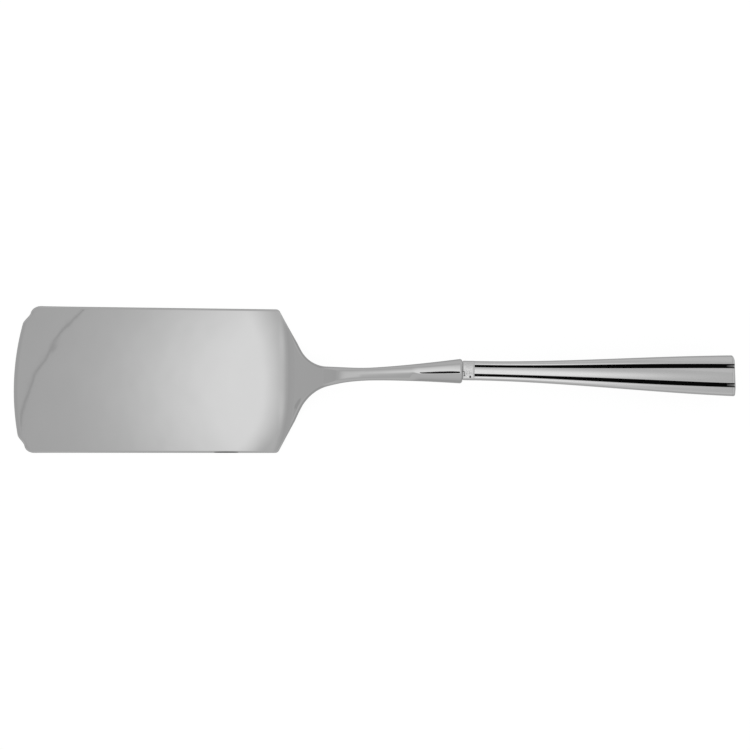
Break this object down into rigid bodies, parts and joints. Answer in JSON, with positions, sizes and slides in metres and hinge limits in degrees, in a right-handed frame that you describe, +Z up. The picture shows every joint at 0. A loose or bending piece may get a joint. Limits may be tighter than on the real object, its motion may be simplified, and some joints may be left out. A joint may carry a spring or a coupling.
{
  "type": "lasagna server",
  "caption": "Broad flat serving blade with a bowed edge and clipped corners, cranked up through a round shank and bolster into a hollow flaring handle with long flutes.",
  "frame": {"origin": "middle of the bounding box's underside, on the plane of the blade's flat underside", "axes": "+X from the serving edge along the server to the butt of the handle, +Y across the blade, +Z up from the blade towards the raised handle"},
  "size_m": [0.2598, 0.053, 0.0161],
  "materials": {
    "blade_steel": "polished stainless steel with a very fine lengthwise grain and light use scratches",
    "handle_silver": "bright polished silver with darkened flutes",
    "seam_solder": "filed silver solder",
    "ferrule_silver": "polished silver, slightly mottled and pitted at the solder",
    "butt_silver": "bright polished silver",
    "handle_cement": "dull dark filler, out of sight"
  },
  "bodies": {
    "root": {"blade": "blade_steel", "handle_shell_upper": "handle_silver", "handle_shell_lower": "handle_silver", "seam_solder_near": "seam_solder", "seam_solder_far": "seam_solder", "neck_ferrule": "ferrule_silver", "butt_cap": "butt_silver", "handle_cement": "handle_cement"}
  },
  "joints": []
}
